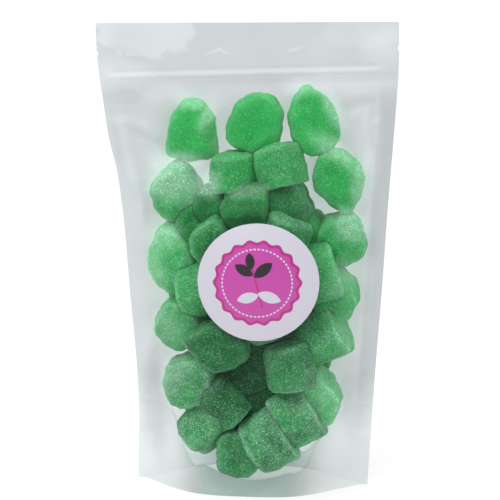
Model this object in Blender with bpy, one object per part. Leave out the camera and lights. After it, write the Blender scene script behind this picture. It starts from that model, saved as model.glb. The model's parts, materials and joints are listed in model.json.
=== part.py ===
"""A clear stand-up pouch of sugared spearmint leaf candy, sealed shut.

Three solids: the filled pouch with the candies it holds showing as bumps, the press-to-close
zip that runs through its header, and the round paper label on its front.
Metres, +Z up.  The front faces -Y and the pouch stands on z = 0.
"""
import math
import random

import bmesh
import bpy
import numpy as np

# ---- driving dimensions ---------------------------------------------------------------
MM = 0.001
GAP = 0.3 * MM              # free space between pieces that touch

BAG_WIDTH = 152.8 * MM      # flat width of the film, edge to edge, at the header
TOP_LEFT = 238.4 * MM       # height of the cut top edge at its left end
TOP_RIGHT = 235.9 * MM      # and at its right end: the cut is a little askew
SIDE_SEAL = 6.0 * MM        # width of the heat seal down each side
SEAL_THICK = 0.6 * MM       # two films pressed together

# The side edges pull in as the filling takes up the width: half widths at these heights.
LEFT_EDGE = ((0, 60.4), (52, 59.4), (100, 62.4), (146, 65.4), (164, 67.6), (180, 71.2),
             (198, 73.6), (214, 75.6), (226, 76.4), (240, 76.4))
RIGHT_EDGE = ((0, 61.2), (52, 64.6), (110, 69.0), (146, 71.4), (181, 74.2), (200, 75.6),
              (214, 76.4), (240, 76.4))

# The open base is a lens with straight fins at its two ends.
BASE_HALF_WIDTH = 60.8 * MM
BASE_DEPTH = 25.0 * MM      # from the plane of the side seals to the front edge
BASE_FIN_POWER = 3.25
BASE_LENS_POWER = 2.0

# How far the filling pushes each film out from the plane of the side seals, up the middle.
FILL_DEPTH = ((0, 21.5), (22, 26.0), (60, 31.0), (95, 31.5), (120, 29.0), (140, 25.0),
              (158, 19.5), (175, 14.0), (190, 10.5), (202, 6.0), (210, 1.5))
FILL_CENTRE = 3.0 * MM      # the filling lies a little to the right
FILL_HALF_WIDTH = 66.0 * MM
FILL_ROUNDNESS = 2.4

# One leaf candy.
LEAF_LENGTH = 30.0 * MM
LEAF_WIDTH = 27.0 * MM
LEAF_CAP = 10.0 * MM        # how far a candy's rim lies behind its crown
LEAF_CORNER = 2.6           # 2 is an ellipse, more is squarer

# The candies that press on the front film: x, z, width, height (mm), turn (degrees
# anticlockwise as seen from the front) and how far the crown stands past the fill depth.
FRONT_CANDIES = (
    (-27, 184, 27, 32, 0, 0.0), (5, 187, 26, 31, -18, 1.0), (34, 188, 26, 36, 12, 0.0),
    (-6, 163, 24, 20, 4, 1.0), (18, 166, 28, 20, 12, 2.5), (47, 157, 26, 34, 15, 0.0),
    (-36, 153, 26, 30, -10, 0.0), (2, 147, 23, 25, 0, -1.0), (21, 135, 23, 20, -25, 1.5),
    (-17, 131, 21, 25, -15, 1.5), (48, 129, 28, 26, -30, 0.0), (-37, 119, 27, 37, 8, 0.5),
    (-25, 104, 22, 27, 10, 1.5), (41, 112, 18, 33, 18, 2.0), (47, 102, 23, 30, 5, -1.0),
    (-37, 86, 18, 28, 12, 0.0), (-14, 76, 31, 26, -12, 2.0), (-29, 57, 30, 29, 35, 1.0),
    (42, 79, 26, 31, 25, 1.0), (24, 67, 27, 27, 10, 2.5), (-9, 45, 23, 23, 40, -1.5),
    (40, 50, 21, 31, 15, 0.0), (27, 39, 22, 36, 35, 2.0), (-23, 31, 25, 27, 25, 0.0),
    (-3, 19, 26, 25, 40, 0.5), (12, 26, 22, 34, 32, 3.0),
)

# The candies that press on the back film stand in staggered rows.  Above them the filling is
# one candy thick, and the flat sides of the same candies press on the back film.
ONE_LAYER = 150.0 * MM
FLAT_BACK = 13.8 * MM       # how far behind the plane of the side seals those flat sides lie
FLAT_RIM = 3.0 * MM         # how far such a side is rounded off at its rim
BACK_ROW_LOW = 17.0 * MM
BACK_ROW_HIGH = 138.0 * MM
BACK_ROW_PITCH = 26.0 * MM
BACK_PITCH = 28.0 * MM
BACK_JITTER = 4.0 * MM
BACK_SEED = 11
# Where the filling ends at the left and at the right, at these heights.
FILL_LEFT = ((0, 22), (12, 28), (30, 38), (57, 45), (86, 49), (120, 52), (153, 50), (184, 42))
FILL_RIGHT = ((0, 30), (20, 38), (39, 45), (50, 51), (79, 56), (129, 62), (157, 60), (188, 48))

# The press-to-close zip: a strip with a rounded track near each edge.
ZIP_HEIGHT_LEFT = 212.3 * MM
ZIP_HEIGHT_RIGHT = 213.7 * MM
ZIP_SPAN = (-70.0 * MM, 68.0 * MM)
ZIP_WIDE = 5.0 * MM
ZIP_STRIP_THICK = 1.1 * MM
ZIP_TRACK = 1.7 * MM        # width of a track
ZIP_TRACK_THICK = 2.4 * MM  # thickness through both tracks
ZIP_TRACK_STEPS = 5

# Tear notches, one in each side edge.
NOTCH_HEIGHT = 223.2 * MM
NOTCH_DEEP = 1.6 * MM
NOTCH_HIGH = 2.2 * MM

# The round paper label.
LABEL_WIDE = 60.2 * MM
LABEL_TALL = 57.6 * MM
LABEL_CENTRE_X = 8.9 * MM
LABEL_CENTRE_Z = 110.8 * MM
LABEL_THICK = 0.3 * MM
LABEL_OUT = 33.0 * MM       # from the plane of the side seals to the film under its middle
LABEL_BEND_ACROSS = 80.0 * MM
LABEL_BEND_UP = 130.0 * MM
LABEL_LEAN = 0.06           # its top leans back by this much for each metre of height
LABEL_RIM = 6.0 * MM        # the film stays smooth this far round the label
LABEL_RINGS = 7
LABEL_SPOKES = 48

# Grid of the pouch's two films.
COLUMNS = 34
BODY_ROWS = 46
HEADER_ROWS = 4
BODY_TOP = 209.0 * MM       # above this the two films lie flat together
RELAX_STEPS = 900
FILM_PULL = 0.40 * MM       # each step draws the film this far in between the candies


def along(stations, height):
    """A smooth value in metres through (height, value) stations given in millimetres."""
    at = [station[0] * MM for station in stations]
    value = [station[1] * MM for station in stations]
    slope = np.gradient(value, at)
    height = np.clip(height, at[0], at[-1])
    i = np.clip(np.searchsorted(at, height, side="right") - 1, 0, len(at) - 2)
    span = np.take(at, i + 1) - np.take(at, i)
    t = (height - np.take(at, i)) / span
    low = (2 * t**3 - 3 * t**2 + 1) * np.take(value, i) + (t**3 - 2 * t**2 + t) * span * np.take(slope, i)
    high = (3 * t**2 - 2 * t**3) * np.take(value, i + 1) + (t**3 - t**2) * span * np.take(slope, i + 1)
    return low + high


def top_edge(x):
    """Height of the cut top edge."""
    return TOP_LEFT + (x / BAG_WIDTH + 0.5) * (TOP_RIGHT - TOP_LEFT)


def fill_depth(x, z):
    """How far the filling pushes a film out, before the candies' own bumps."""
    across = np.clip(abs(x - FILL_CENTRE) / FILL_HALF_WIDTH, 0, 1)
    return along(FILL_DEPTH, z) * (1 - across**FILL_ROUNDNESS)


def base_depth(x):
    """Half depth of the lens that the pouch stands on."""
    across = np.clip(abs(x) / BASE_HALF_WIDTH, 0, 1)
    return SEAL_THICK / 2 + BASE_DEPTH * (1 - across**BASE_FIN_POWER)**BASE_LENS_POWER


def label_depth(x, z):
    """The smooth patch of film that the label sticks to."""
    across = x - LABEL_CENTRE_X
    up = z - LABEL_CENTRE_Z
    return LABEL_OUT - across**2 / (2 * LABEL_BEND_ACROSS) - up**2 / (2 * LABEL_BEND_UP) - LABEL_LEAN * up


def film_grid():
    """x and z of every point of a film, columns across and rows up."""
    low = np.linspace(0, BODY_TOP, BODY_ROWS + 1)
    rows = []
    for z in low:
        rows.append(np.full(COLUMNS + 1, z))
    across = np.linspace(-BAG_WIDTH / 2, BAG_WIDTH / 2, COLUMNS + 1)
    for step in range(1, HEADER_ROWS + 1):
        part = step / HEADER_ROWS
        rows.append(BODY_TOP + part * (top_edge(across) - BODY_TOP))
    z = np.array(rows)
    left = -along(LEFT_EDGE, z)
    right = along(RIGHT_EDGE, z)
    inner = np.linspace(0, 1, COLUMNS - 1)[None, :]
    middle = (left[:, 1:-1] + SIDE_SEAL) * (1 - inner) + (right[:, 1:-1] - SIDE_SEAL) * inner
    x = np.concatenate([left[:, :1], middle, right[:, -1:]], axis=1)
    return x, z


def bumps(x, z, candies, depth, rim):
    """The furthest that any candy reaches out over each point, or nothing.

    depth is how far out the candies' crowns lie, and rim how far their rims lie behind them.
    """
    reach = np.zeros_like(x)
    for cx, cz, wide, high, turn, crown in candies:
        c = math.cos(math.radians(turn))
        s = math.sin(math.radians(turn))
        dx = x - cx
        dz = z - cz
        u = abs(c * dx + s * dz) / (wide / 2)
        v = abs(c * dz - s * dx) / (high / 2)
        r = np.clip((u**LEAF_CORNER + v**LEAF_CORNER), 0, 1)
        cap = rim * (1 - (1 - r)**(1 / LEAF_CORNER))
        out = depth + crown - cap
        reach = np.where(r < 1, np.maximum(reach, out), reach)
    return reach


def front_candies():
    rows = []
    for x, z, wide, high, turn, crown in FRONT_CANDIES:
        rows.append((x * MM, z * MM, wide * MM, high * MM, turn, crown * MM))
    return rows


def flat_candies():
    """The topmost candies, whose flat sides all lie about as far back."""
    rows = []
    for x, z, wide, high, turn, _ in front_candies():
        if z > ONE_LAYER:
            rows.append((x, z, wide, high, turn, 0.0))
    return rows


def back_candies():
    """Staggered rows of candies, each turned its own way."""
    draw = random.Random(BACK_SEED)
    rows = []
    count = round((BACK_ROW_HIGH - BACK_ROW_LOW) / BACK_ROW_PITCH) + 1
    for row in range(count):
        z = BACK_ROW_LOW + row * (BACK_ROW_HIGH - BACK_ROW_LOW) / (count - 1)
        left = -along(FILL_LEFT, z) + LEAF_WIDTH / 2
        right = along(FILL_RIGHT, z) - LEAF_WIDTH / 2
        across = max(2, round((right - left) / BACK_PITCH) + 1)
        for i in range(across):
            x = left + i * (right - left) / (across - 1) + draw.uniform(-BACK_JITTER, BACK_JITTER)
            up = z + (BACK_ROW_PITCH / 4 if i % 2 else -BACK_ROW_PITCH / 4)
            size = draw.uniform(0.92, 1.05)
            turn = draw.uniform(-60, 60)
            crown = draw.uniform(-1.5, 1.5) * MM
            rows.append((x, up, LEAF_WIDTH * size, LEAF_LENGTH * size, turn, crown))
    return rows


def stretched_film(x, z, stops, label):
    """Depth of a film pulled taut over the candies, held flat at its seals and on the base."""
    depth = np.maximum(stops, SEAL_THICK / 2)
    held = np.zeros(x.shape, bool)
    held[:, :2] = True
    held[:, -2:] = True
    held[BODY_ROWS:, :] = True
    value = np.full(x.shape, SEAL_THICK / 2)
    held[0, :] = True
    value[0, :] = base_depth(x[0])
    if label:
        across = (x - LABEL_CENTRE_X) / (LABEL_WIDE / 2 + LABEL_RIM)
        up = (z - LABEL_CENTRE_Z) / (LABEL_TALL / 2 + LABEL_RIM)
        under = across**2 + up**2 < 1
        held |= under
        value = np.where(under, label_depth(x, z), value)
    depth[held] = value[held]
    filled = (x > -along(FILL_LEFT, z)) & (x < along(FILL_RIGHT, z))
    pull = np.where(filled, FILM_PULL, 0)[1:-1, 1:-1]
    for _ in range(RELAX_STEPS):
        around = depth[:-2, 1:-1] + depth[2:, 1:-1] + depth[1:-1, :-2] + depth[1:-1, 2:]
        middle = np.maximum(around / 4 - pull, stops[1:-1, 1:-1])
        middle = np.maximum(middle, SEAL_THICK / 2)
        depth[1:-1, 1:-1] = np.where(held[1:-1, 1:-1], depth[1:-1, 1:-1], middle)
    return depth


def material(name, color, roughness, metallic=0.0, alpha=1.0):
    made = bpy.data.materials.new(name)
    made.use_nodes = True
    shader = made.node_tree.nodes["Principled BSDF"]
    shader.inputs["Base Color"].default_value = (*color, 1.0)
    shader.inputs["Roughness"].default_value = roughness
    shader.inputs["Metallic"].default_value = metallic
    shader.inputs["Alpha"].default_value = alpha
    made.diffuse_color = (*color, alpha)
    return made


def add_object(name, mesh_data, finish):
    mesh = bpy.data.meshes.new(name)
    mesh_data.normal_update()
    mesh_data.to_mesh(mesh)
    mesh_data.free()
    mesh.materials.append(finish)
    made = bpy.data.objects.new(name, mesh)
    bpy.context.collection.objects.link(made)
    return made


def smooth(made, angle=math.radians(40)):
    made.data.shade_smooth()
    made.data.set_sharp_from_angle(angle=angle)


def add_cutter(name, center, size, turn=0.0):
    """A plain box to cut with, turned about the depth axis."""
    bm = bmesh.new()
    bmesh.ops.create_cube(bm, size=1.0)
    bmesh.ops.scale(bm, vec=size, verts=bm.verts)
    made = add_object(name, bm, finishes["film"])
    made.location = center
    made.rotation_euler = (0.0, turn, 0.0)
    made.hide_render = True
    made.display_type = "WIRE"
    return made


def cut(target, cutter):
    difference = target.modifiers.new(cutter.name, "BOOLEAN")
    difference.operation = "DIFFERENCE"
    difference.solver = "EXACT"
    difference.object = cutter


def zip_height(x):
    part = (x - ZIP_SPAN[0]) / (ZIP_SPAN[1] - ZIP_SPAN[0])
    return ZIP_HEIGHT_LEFT + part * (ZIP_HEIGHT_RIGHT - ZIP_HEIGHT_LEFT)


def build_pouch():
    """Front film, back film and the flat lens they stand on, closed into one solid."""
    x, z = film_grid()
    filling = fill_depth(x, z)
    front = stretched_film(x, z, bumps(x, z, front_candies(), filling, LEAF_CAP), label=True)
    behind = bumps(x, z, back_candies(), filling, LEAF_CAP)
    behind = np.maximum(behind, bumps(x, z, flat_candies(), FLAT_BACK, FLAT_RIM))
    back = stretched_film(x, z, behind, label=False)
    bm = bmesh.new()
    rows, columns = x.shape
    front_points = []
    back_points = []
    for r in range(rows):
        front_points.append([bm.verts.new((x[r, c], -front[r, c], z[r, c])) for c in range(columns)])
        back_points.append([bm.verts.new((x[r, c], back[r, c], z[r, c])) for c in range(columns)])
    for r in range(rows - 1):
        for c in range(columns - 1):
            for side in (front_points, back_points):
                bm.faces.new((side[r][c], side[r][c + 1], side[r + 1][c + 1], side[r + 1][c]))
        for c in (0, columns - 1):
            ends = (front_points[r][c], back_points[r][c], back_points[r + 1][c], front_points[r + 1][c])
            bm.faces.new(ends)
    for c in range(columns - 1):
        for near, far in ((front_points[0], back_points[0]), (front_points[-1], back_points[-1])):
            bm.faces.new((near[c], far[c], far[c + 1], near[c + 1]))
    bmesh.ops.recalc_face_normals(bm, faces=bm.faces)
    pouch = add_object("pouch", bm, finishes["film"])
    smooth(pouch)

    middle = (ZIP_SPAN[0] + ZIP_SPAN[1]) / 2
    slope = -math.atan2(ZIP_HEIGHT_RIGHT - ZIP_HEIGHT_LEFT, ZIP_SPAN[1] - ZIP_SPAN[0])
    slot_size = (ZIP_SPAN[1] - ZIP_SPAN[0] + 2 * GAP, 4 * MM, ZIP_WIDE + 2 * GAP)
    cut(pouch, add_cutter("zip_slot", (middle, 0, zip_height(middle)), slot_size, slope))
    notch_side = math.hypot(NOTCH_DEEP, NOTCH_HIGH / 2)
    notch_size = (notch_side, 4 * MM, notch_side)
    for name, edge in (("notch_left", -BAG_WIDTH / 2), ("notch_right", BAG_WIDTH / 2)):
        cut(pouch, add_cutter(name, (edge, 0, NOTCH_HEIGHT), notch_size, math.radians(45)))
    return pouch


def build_zip():
    """The zip's section, strip and two rounded tracks, run across the header."""
    half = ZIP_STRIP_THICK / 2
    track = ZIP_TRACK / 2
    rise = ZIP_TRACK_THICK / 2 - half
    offset = ZIP_WIDE / 2 - track
    side = [(ZIP_WIDE / 2, half)]
    for middle in (offset, -offset):
        for step in range(1, ZIP_TRACK_STEPS):
            angle = math.pi * step / ZIP_TRACK_STEPS
            side.append((middle + track * math.cos(angle), half + rise * math.sin(angle)))
        if middle > 0:
            side.append((middle - track, half))
            side.append((-middle + track, half))
    side.append((-ZIP_WIDE / 2, half))
    outline = side + [(up, -out) for up, out in reversed(side)]
    bm = bmesh.new()
    ends = []
    for x in ZIP_SPAN:
        ends.append([bm.verts.new((x, -out, zip_height(x) + up)) for up, out in outline])
    bm.faces.new(ends[0])
    bm.faces.new(list(reversed(ends[1])))
    for i in range(len(outline)):
        j = (i + 1) % len(outline)
        bm.faces.new((ends[0][i], ends[0][j], ends[1][j], ends[1][i]))
    bmesh.ops.recalc_face_normals(bm, faces=bm.faces)
    made = add_object("zip", bm, finishes["zip"])
    smooth(made)
    return made


def build_label():
    """A thin disc bent to the front of the pouch."""
    bm = bmesh.new()
    skins = []
    middle_depth = label_depth(LABEL_CENTRE_X, LABEL_CENTRE_Z)
    for skin in (GAP, GAP + LABEL_THICK):
        rings = [[bm.verts.new((LABEL_CENTRE_X, -middle_depth - skin, LABEL_CENTRE_Z))]]
        for ring in range(1, LABEL_RINGS + 1):
            part = ring / LABEL_RINGS
            loop = []
            for spoke in range(LABEL_SPOKES):
                angle = 2 * math.pi * spoke / LABEL_SPOKES
                x = LABEL_CENTRE_X + part * LABEL_WIDE / 2 * math.cos(angle)
                z = LABEL_CENTRE_Z + part * LABEL_TALL / 2 * math.sin(angle)
                loop.append(bm.verts.new((x, -label_depth(x, z) - skin, z)))
            rings.append(loop)
        skins.append(rings)
    for rings in skins:
        for spoke in range(LABEL_SPOKES):
            after = (spoke + 1) % LABEL_SPOKES
            bm.faces.new((rings[0][0], rings[1][spoke], rings[1][after]))
            for ring in range(1, LABEL_RINGS):
                inner = rings[ring]
                outer = rings[ring + 1]
                bm.faces.new((inner[spoke], outer[spoke], outer[after], inner[after]))
    for spoke in range(LABEL_SPOKES):
        after = (spoke + 1) % LABEL_SPOKES
        under = skins[0][-1]
        over = skins[1][-1]
        bm.faces.new((under[spoke], under[after], over[after], over[spoke]))
    bmesh.ops.recalc_face_normals(bm, faces=bm.faces)
    made = add_object("label", bm, finishes["label"])
    smooth(made)
    return made


for old in list(bpy.data.objects):
    bpy.data.objects.remove(old, do_unlink=True)

finishes = {
    "film": material("clear_film", (0.42, 0.72, 0.50), 0.12, alpha=0.55),
    "zip": material("zip_plastic", (0.86, 0.88, 0.90), 0.20),
    "label": material("label_paper", (0.84, 0.84, 0.88), 0.35),
}
build_pouch()
build_zip()
build_label()
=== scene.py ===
"""Looks for a clear stand-up pouch full of sugared spearmint leaf jellies.

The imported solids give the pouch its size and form.  Here the solid pouch is replaced by the
jellies themselves and by a thin hazy film that is drawn taut over them, the zip gets its milky
plastic, and the paper label its print.  Metres, +Z up; the front faces -Y.
"""
import json
import math
import random

import bmesh
import bpy
import numpy as np
from bpy.props import FloatProperty, FloatVectorProperty, IntProperty, PointerProperty
from mathutils import Matrix, Vector, noise
from mathutils.bvhtree import BVHTree

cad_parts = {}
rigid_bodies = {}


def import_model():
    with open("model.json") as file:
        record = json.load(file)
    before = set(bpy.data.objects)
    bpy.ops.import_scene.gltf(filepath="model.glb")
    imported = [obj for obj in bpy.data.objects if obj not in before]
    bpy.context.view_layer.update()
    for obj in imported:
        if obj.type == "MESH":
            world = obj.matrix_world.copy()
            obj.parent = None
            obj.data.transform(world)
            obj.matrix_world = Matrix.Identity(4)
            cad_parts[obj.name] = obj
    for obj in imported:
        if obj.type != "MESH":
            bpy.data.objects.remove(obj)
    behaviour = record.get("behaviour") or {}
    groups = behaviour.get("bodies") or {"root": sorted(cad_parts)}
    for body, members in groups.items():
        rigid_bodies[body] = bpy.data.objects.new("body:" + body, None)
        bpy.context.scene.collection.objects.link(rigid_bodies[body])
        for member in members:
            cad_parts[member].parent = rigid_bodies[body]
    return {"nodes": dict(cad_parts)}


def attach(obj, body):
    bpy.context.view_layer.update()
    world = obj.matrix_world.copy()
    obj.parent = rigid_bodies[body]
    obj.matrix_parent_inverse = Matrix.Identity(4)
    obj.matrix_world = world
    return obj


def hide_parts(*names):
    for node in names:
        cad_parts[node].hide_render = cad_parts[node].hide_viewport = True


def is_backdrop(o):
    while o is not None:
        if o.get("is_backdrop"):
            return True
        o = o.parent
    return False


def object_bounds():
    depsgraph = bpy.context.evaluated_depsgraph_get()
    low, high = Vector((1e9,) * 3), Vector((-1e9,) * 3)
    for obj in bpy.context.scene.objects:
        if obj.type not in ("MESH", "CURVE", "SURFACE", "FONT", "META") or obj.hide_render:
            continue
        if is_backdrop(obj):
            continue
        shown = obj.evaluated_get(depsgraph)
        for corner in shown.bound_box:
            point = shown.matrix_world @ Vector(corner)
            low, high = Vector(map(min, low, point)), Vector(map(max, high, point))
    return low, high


bl_info = {
    "name": "Pouch of Spearmint Leaf Jellies",
    "version": (1, 0, 0),
    "blender": (4, 5, 0),
    "location": "View3D > Sidebar > Jelly Pouch",
    "description": "Builds the jellies, film, zip and label of a clear stand-up pouch",
    "category": "Add Mesh",
}

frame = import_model()
CAD_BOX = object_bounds()

MM = 0.001
SEED_STEP = (17.3, -9.1, 4.7)           # how far each seed moves on through the noise

# ---- the pouch, as its solid was built ---------------------------------------------------
BAG_WIDTH = 152.8 * MM
TOP_LEFT = 238.4 * MM
TOP_RIGHT = 235.9 * MM
SIDE_SEAL = 6.0 * MM
SEAL_THICK = 0.6 * MM
LEFT_EDGE = ((0, 60.4), (52, 59.4), (100, 62.4), (146, 65.4), (164, 67.6), (180, 71.2),
             (198, 73.6), (214, 75.6), (226, 76.4), (240, 76.4))
RIGHT_EDGE = ((0, 61.2), (52, 64.6), (110, 69.0), (146, 71.4), (181, 74.2), (200, 75.6),
              (214, 76.4), (240, 76.4))
BASE_HALF_WIDTH = 60.8 * MM
BASE_DEPTH = 25.0 * MM
BASE_FIN_POWER = 3.25
BASE_LENS_POWER = 2.0
FILL_DEPTH = ((0, 21.5), (22, 26.0), (60, 31.0), (95, 31.5), (120, 29.0), (140, 25.0),
              (158, 19.5), (175, 14.0), (190, 10.5), (202, 6.0), (210, 1.5))
FILL_CENTRE = 3.0 * MM
FILL_HALF_WIDTH = 66.0 * MM
FILL_ROUNDNESS = 2.4
FILL_LEFT = ((0, 22), (12, 28), (30, 38), (57, 45), (86, 49), (120, 52), (153, 50), (184, 42))
FILL_RIGHT = ((0, 30), (20, 38), (39, 45), (50, 51), (79, 56), (129, 62), (157, 60), (188, 48))
ZIP_HEIGHT_LEFT = 212.3 * MM
ZIP_HEIGHT_RIGHT = 213.7 * MM
ZIP_SPAN = (-70.0 * MM, 68.0 * MM)
ZIP_WIDE = 5.0 * MM
ZIP_TRACK_THICK = 2.4 * MM
NOTCH_HEIGHT = 223.2 * MM
NOTCH_DEEP = 1.6 * MM
NOTCH_HIGH = 2.2 * MM
LABEL_WIDE = 60.2 * MM
LABEL_TALL = 57.6 * MM
LABEL_CENTRE_X = 8.9 * MM
LABEL_CENTRE_Z = 110.8 * MM
LABEL_OUT = 33.0 * MM
LABEL_BEND_ACROSS = 80.0 * MM
LABEL_BEND_UP = 130.0 * MM
LABEL_LEAN = 0.06
LABEL_RIM = 6.0 * MM

# ---- the jellies -------------------------------------------------------------------------
# Those that show through the front: x, z (mm), turn (degrees anticlockwise), the side that is
# seen, its width and height before the turn (mm), how far it stands past the filling, its mould,
# its painted light and shade (lighter where light shines through it, darker deep in the pouch)
# and how thick its sugar lies.
FRONT_JELLIES = (
    (-28.5, 184, -3, "top", 26.5, 32, 0.0, 3, 0.95, 0.25),
    (5, 187, -22, "top", 28, 31, 1.0, 4, 0.88, 0.05),
    (33.5, 188, 14, "top", 26, 37, 0.0, 5, 0.85, 0.2),
    (-6, 163, 4, "side", 25, 20, 1.0, 2, 0.65, 0.45),
    (17.5, 166, 12, "side", 26.5, 22, 2.5, 2, 0.6, 0.6),
    (47, 157, 195, "top", 26.5, 35, 0.0, 0, 0.75, 0.3),
    (-36, 153, -10, "top", 27, 32, 0.0, 2, 0.65, 0.6),
    (-17, 144, 20, "top", 22, 25, -8.0, 2, 0.3, 0.05),
    (1.5, 145, 92, "side", 28, 24, -1.0, 2, 0.35, 0.1),
    (20.5, 143.5, -12, "top", 27, 37, -6.0, 1, 0.3, 0.3),
    (20, 130.5, -20, "side", 27, 25, 1.0, 1, 0.4, 0.6),
    (-16, 129, -15, "top", 22, 26, 1.5, 2, 0.35, 0.45),
    (48, 128.5, -30, "top", 28, 29, 0.0, 2, 0.7, 0.4),
    (-38, 119, 8, "top", 27, 38, 0.5, 2, 0.85, 0.85),
    (-24, 104, 100, "side", 28, 20, 1.0, 2, 0.6, 0.7),
    (37, 112, 108, "side", 33, 20, 1.5, 2, 0.65, 0.7),
    (44.5, 101.5, 5, "top", 25, 32, -1.0, 2, 0.7, 0.5),
    (-35, 85.5, 12, "top", 25, 29, -1.0, 2, 0.65, 0.7),
    (-13.5, 76.5, 78, "top", 26, 35, 2.0, 2, 0.2, 0.35),
    (-28, 57.5, -35, "top", 29, 35, 0.5, 1, 0.38, 0.9),
    (37.5, 79.5, 118, "side", 29, 26, 1.0, 2, 0.58, 0.9),
    (23, 66.5, 10, "end", 25, 24, 2.5, 1, 0.28, 0.6),
    (2, 63.5, 20, "top", 32, 32, -13.0, 1, -0.05, 0.15),
    (-12, 46, 40, "end", 26, 25, -3.0, 2, 0.12, 0.4),
    (35.5, 49, 12, "top", 25, 34, -0.5, 2, 0.75, 1.0),
    (25, 39.5, 120, "side", 33, 22.5, 2.0, 2, 0.3, 0.75),
    (-21.5, 32.5, 134, "side", 26, 25, 0.0, 1, 0.33, 0.8),
    (-4, 20, 40, "top", 27, 28, 0.5, 2, 0.25, 0.5),
    (11.5, 27, 120, "side", 32, 22.5, 3.0, 2, 0.22, 0.8),
    (-2, 116, 20, "top", 26, 30, 0.0, 0, 0.3, 0.3),
    (22, 112, -10, "top", 26, 30, 0.0, 1, 0.3, 0.3),
    (9, 91, 80, "top", 26, 30, 0.0, 2, 0.2, 0.3),
    (31, 130, 0, "top", 24, 26, -12.0, 2, 0.5, 0.0),
    (9, 46, 10, "top", 28, 28, -13.0, 2, -0.3, 0.0),
    (-26, 135, 20, "top", 24, 27, -9.0, 2, 0.45, 0.2),
    (-1, 37, 15, "top", 24, 26, -14.0, 2, -0.3, 0.0),
)
SEEN = {                    # where a jelly's own width, length and height point when it is seen so
    "top": Matrix(((1, 0, 0), (0, 0, -1), (0, 1, 0))),
    "side": Matrix(((0, 1, 0), (-1, 0, 0), (0, 0, 1))),
    "end": Matrix.Identity(3),
}
BACK_ROW_LOW = 17.0 * MM
BACK_ROW_HIGH = 138.0 * MM
BACK_ROW_PITCH = 26.0 * MM
BACK_PITCH = 28.0 * MM
BACK_JITTER = 4.0 * MM
BACK_SEED = 11
# Those in the middle, that only show as dark shapes in the gaps: x, z (mm).
MIDDLE_JELLIES = ((2, 22), (-17, 56), (14, 50), (-22, 88), (2, 78), (27, 84), (-6, 106), (18, 124),
                  (-22, 124), (38, 128), (36, 104), (-2, 136))
BACK_PAINTED_LIGHT = (0.25, 0.55)    # painted light and shade of the jellies at the back: darker at the foot, lighter at the top
BACK_FROST = 0.45
# How far each of them strays from the usual size, turn (degrees), crown (mm), painted light and sugar.
BACK_SIZE = (0.92, 1.05)
BACK_TURN = (-60, 60)
BACK_CROWN = (-1.5, 1.5)
BACK_PAINTED_LIGHT_STRAY = (-0.15, 0.15)
BACK_FROST_STRAY = (-0.3, 0.3)
MIDDLE_LOOK = (0.0, 2, 0.1, 0.2)        # crown, mould, painted light (a dark painted shade) and sugar of those in the middle
DEPTH_STRAY = (0.95, 1.06)  # of any jelly's depth, as a share
LEAN = 7.0                  # how far any jelly leans over at most, in degrees
# How readily a jelly gives way to the others.
FREEDOM = {"front": 0.0, "back": 0.3, "middle": 1.0}
SETTLE_STEPS = 60
SETTLE_SEED = 5
HIDDEN_TOP = 150 * MM       # the middles of the hidden jellies stay below this height
HIDDEN_INSET = 5.0 * MM     # their sides stay this far inside the filling's outline
BEHIND_INSET = 4.0 * MM     # and those at the back this much more on the right
DEEPEST_OVERLAP = 8.0 * MM  # a jelly that still sinks deeper than this into another is left out
JELLIES_A_PIECE = 20
BEHIND_LABEL = 0.8 * MM     # how far a jelly stays behind the film under the label
ABOVE_GUSSET = 1 * MM       # and above the gusset
LUMP_SIZE = 11 * MM
CRUST_SIZE = 4 * MM

# ---- the sugared jelly -------------------------------------------------------------------
CLOUD_SIZE = 9 * MM         # of the cloudy parts in the jelly
COAT_SIZE = 7 * MM          # of the thick and thin parts of the sugar
DUST_SIZE = 0.9 * MM
SMALL_GRAIN = 0.62          # size of the small grains of sugar, as a share of the large ones
DUST_VEIL = 0.32            # how much of the green the fine sugar hides
GRAIN_VEIL = 0.72           # and how much of it a grain hides
JELLY_SCATTER = (0.25, 1.0, 0.4)        # how far each colour spreads inside the jelly
JELLY_SCATTER_SIZE = 6 * MM
JELLY_SHEEN = (0.6, 1.0, 0.7)

# ---- the moulds of a leaf jelly ----------------------------------------------------------
LOBES = 9                   # scallops round the rim of a leaf
LEAF_POINTS = 54
# How the mould rises: share of the height, and how much each step widens or narrows.
LEAF_STEPS = ((0.05, 1.06), (0.10, 1.02), (0.25, 0.985), (0.35, 0.985), (0.12, 0.95), (0.08, 0.88),
              (0.05, 0.66))
END_POINTS = 0.97           # an end's points lie past this share of half the length
END_SPREAD = 0.6            # how far its narrowing spreads, as a share of the length
SCALLOP_SPREAD = 0.09       # how far a scallop spreads, as a share of the width
SCALLOP_TURN = 0.12         # how much further each next mould's scallops are turned, in radians
CROWN_DENT = 0.05           # how deep the crown sinks in the middle, as a share of the height
# How much narrower, or wider, the tip and the foot are than an oval's, and how deep the scallops.
MOULDS = (
    (0.25, 0.86, 0.085), (0.40, 0.70, 0.065), (0.55, 0.90, 0.050), (0.90, 1.90, 0.060),
    (1.00, 1.60, 0.045), (0.60, 1.15, 0.060),
)

# ---- the film ----------------------------------------------------------------------------
SEAL_COLUMNS = 7
BODY_COLUMNS = 126
BODY_ROWS = 190
HEADER_ROWS = 52
BODY_TOP = 209.0 * MM
CLEARANCE = 0.15 * MM
STRETCH_STEPS = 3000
FILM_CURVE = 80.0           # how sharply free film bends in, one over metres
# The seam between each film and the gusset: x, z (mm).
SEAM = ((-61, 42), (-45, 42), (-38.7, 41.6), (-32.7, 27), (-28.8, 16), (-20.5, 13.8),
        (-13.3, 11.8), (3, 8.3), (20, 10.8), (31, 15), (36.1, 26.5), (44.2, 40), (50, 42), (61, 42))
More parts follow.
